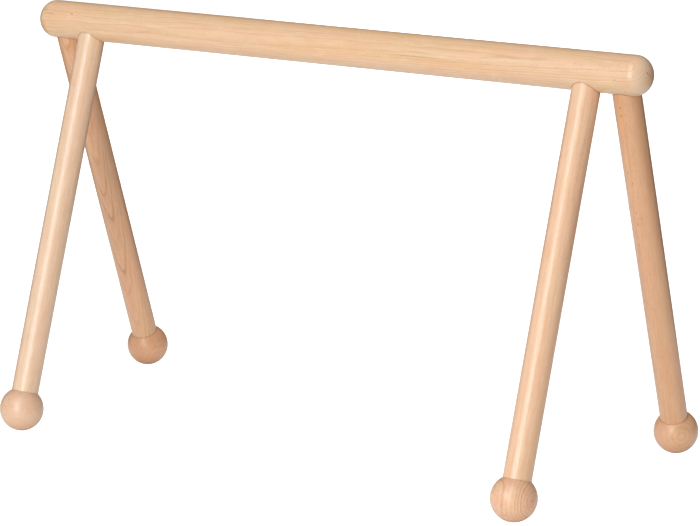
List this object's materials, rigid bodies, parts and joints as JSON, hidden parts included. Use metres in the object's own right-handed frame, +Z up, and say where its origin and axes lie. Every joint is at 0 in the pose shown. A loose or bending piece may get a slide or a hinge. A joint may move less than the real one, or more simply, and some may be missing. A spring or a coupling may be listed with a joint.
{
  "type": "activity play gym",
  "caption": "Wooden activity play gym: a round crossbar with rounded ends on splayed round legs with ball feet, for hanging toys above a lying baby.",
  "frame": {"origin": "on the floor, under the middle of the crossbar", "axes": "+X along the crossbar, -Y the front, +Z up"},
  "size_m": [0.81, 0.3734, 0.4902],
  "materials": {
    "beech_bar": "clear satin varnish",
    "beech_leg": "clear satin varnish",
    "beech_ball": "clear satin varnish",
    "dowel_beech": "raw fluted beech",
    "bolt_steel": "bright zinc plated",
    "insert_zinc": "yellow-tinted zinc"
  },
  "bodies": {
    "crossbar": {"crossbar": "beech_bar", "threaded_insert_front_left": "insert_zinc", "threaded_insert_front_right": "insert_zinc", "threaded_insert_rear_left": "insert_zinc", "threaded_insert_rear_right": "insert_zinc"},
    "front_left_leg": {"leg_front_left": "beech_leg", "foot_ball_front_left": "beech_ball", "hanger_bolt_front_left": "bolt_steel", "foot_dowel_front_left": "dowel_beech"},
    "front_right_leg": {"leg_front_right": "beech_leg", "foot_ball_front_right": "beech_ball", "hanger_bolt_front_right": "bolt_steel", "foot_dowel_front_right": "dowel_beech"},
    "rear_left_leg": {"leg_rear_left": "beech_leg", "foot_ball_rear_left": "beech_ball", "hanger_bolt_rear_left": "bolt_steel", "foot_dowel_rear_left": "dowel_beech"},
    "rear_right_leg": {"leg_rear_right": "beech_leg", "foot_ball_rear_right": "beech_ball", "hanger_bolt_rear_right": "bolt_steel", "foot_dowel_rear_right": "dowel_beech"}
  },
  "joints": [
    {"name": "front_left_leg_pull", "type": "slide", "parent": "crossbar", "child": "front_left_leg", "axis": [0, -0.342, -0.9397], "range_m": [0, 0.06]},
    {"name": "front_right_leg_pull", "type": "slide", "parent": "crossbar", "child": "front_right_leg", "axis": [0, -0.342, -0.9397], "range_m": [0, 0.06]},
    {"name": "rear_left_leg_pull", "type": "slide", "parent": "crossbar", "child": "rear_left_leg", "axis": [0, 0.342, -0.9397], "range_m": [0, 0.06]},
    {"name": "rear_right_leg_pull", "type": "slide", "parent": "crossbar", "child": "rear_right_leg", "axis": [0, 0.342, -0.9397], "range_m": [0, 0.06]}
  ]
}
